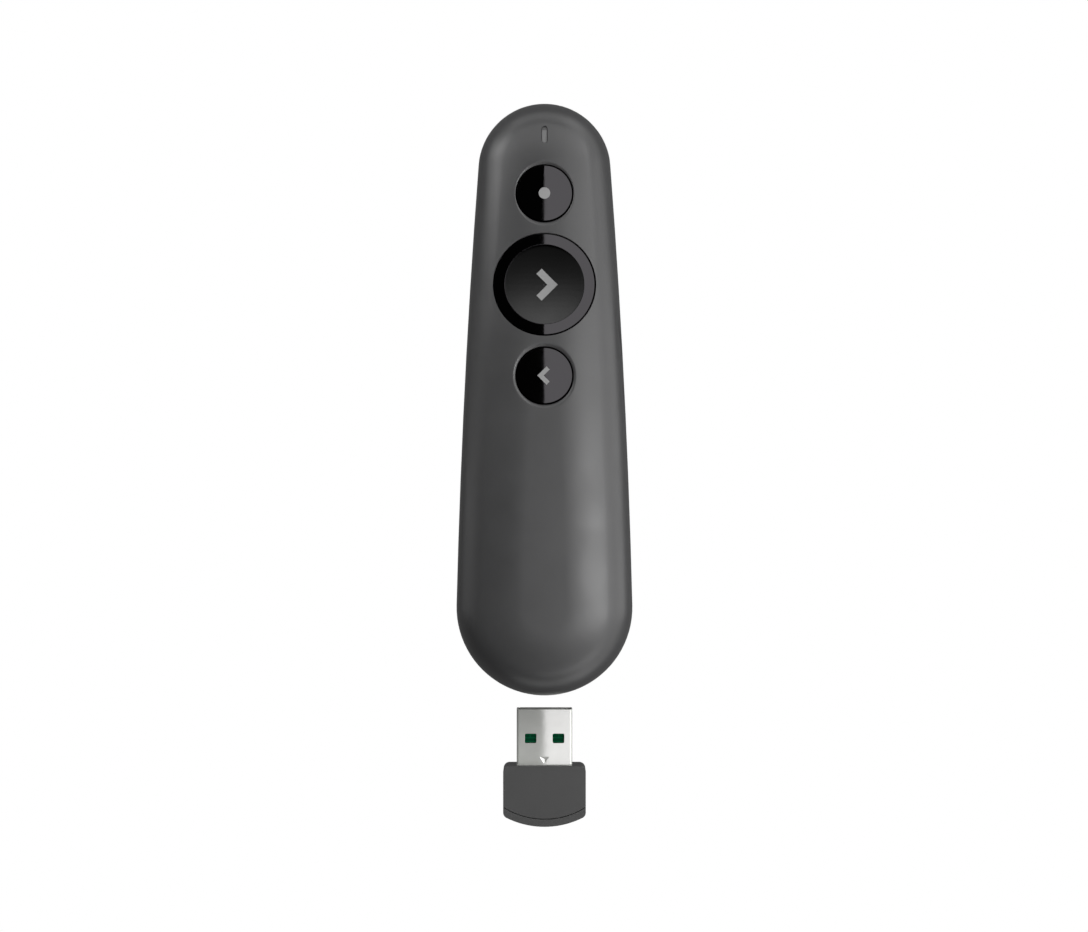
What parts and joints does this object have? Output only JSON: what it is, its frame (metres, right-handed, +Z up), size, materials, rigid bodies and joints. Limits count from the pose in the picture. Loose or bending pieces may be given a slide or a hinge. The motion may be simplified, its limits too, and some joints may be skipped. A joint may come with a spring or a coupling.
{
  "type": "presentation clicker",
  "caption": "Hand-held presentation clicker with round push buttons, a laser window, a slide-off battery cover and a plug-in radio receiver that docks in its tail.",
  "frame": {"origin": "on the surface that the belly rests on, under the middle of the clicker's length", "axes": "+Z up out of the button face, +Y towards the laser nose, +X to the right seen from above"},
  "size_m": [0.037, 0.1544, 0.026],
  "materials": {
    "body_plastic": "matt dark grey, fine grain",
    "button_gloss": "glossy black",
    "dark_window": "dark red tint",
    "light_pipe": "smoky translucent",
    "circuit_board": "green solder mask",
    "chip_black": "moulded epoxy",
    "switch_black": "moulded",
    "led_white": "translucent resin",
    "steel": "stamped",
    "plug_steel": "nickel plated",
    "contact_metal": "plated spring steel",
    "brass": "turned",
    "gold": "gold plated",
    "clear_glass": "clear",
    "battery_print": "plain printed sleeve",
    "receiver_plastic": "matt dark grey",
    "flex_orange": "amber film"
  },
  "bodies": {
    "housing": {"front_shell": "body_plastic", "back_shell": "body_plastic", "laser_window": "dark_window", "light_pipe": "light_pipe", "main_board": "circuit_board", "radio_chip": "chip_black", "crystal": "steel", "status_led": "led_white", "laser_switch_base": "switch_black", "laser_switch_plate": "steel", "laser_switch_dome": "steel", "next_switch_base": "switch_black", "next_switch_plate": "steel", "next_switch_dome": "steel", "back_switch_base": "switch_black", "back_switch_plate": "steel", "back_switch_dome": "steel", "laser_barrel": "brass", "laser_lens": "clear_glass", "laser_diode": "brass", "spring_contact": "contact_metal", "plate_contact": "contact_metal", "case_screws": "contact_metal", "battery_cell": "battery_print", "laser_flex": "flex_orange"},
    "laser_key": {"laser_button": "button_gloss", "laser_switch_plunger": "switch_black"},
    "next_key": {"next_button": "button_gloss", "next_switch_plunger": "switch_black"},
    "back_key": {"back_button": "button_gloss", "back_switch_plunger": "switch_black"},
    "cover": {"battery_cover": "body_plastic"},
    "receiver": {"receiver_body": "receiver_plastic", "receiver_end_cap": "receiver_plastic", "usb_shell": "plug_steel", "receiver_board": "circuit_board", "usb_contacts": "gold", "usb_insert": "switch_black", "receiver_chip": "chip_black"}
  },
  "joints": [
    {"name": "laser_press", "type": "slide", "parent": "housing", "child": "laser_key", "axis": [0, 0, -1], "range_m": [0, 0.0005], "stiffness_N_per_m": 1500, "deforming": ["laser_switch_dome"]},
    {"name": "next_press", "type": "slide", "parent": "housing", "child": "next_key", "axis": [0, 0, -1], "range_m": [0, 0.0005], "stiffness_N_per_m": 1500, "deforming": ["next_switch_dome"]},
    {"name": "back_press", "type": "slide", "parent": "housing", "child": "back_key", "axis": [0, 0, -1], "range_m": [0, 0.0005], "stiffness_N_per_m": 1500, "deforming": ["back_switch_dome"]},
    {"name": "cover_slide", "type": "slide", "parent": "housing", "child": "cover", "axis": [0, -1, 0], "range_m": [0, 0.085]},
    {"name": "receiver_dock", "type": "slide", "parent": "cover", "child": "receiver", "axis": [0, 1, 0], "range_m": [0, 0.0294]}
  ]
}
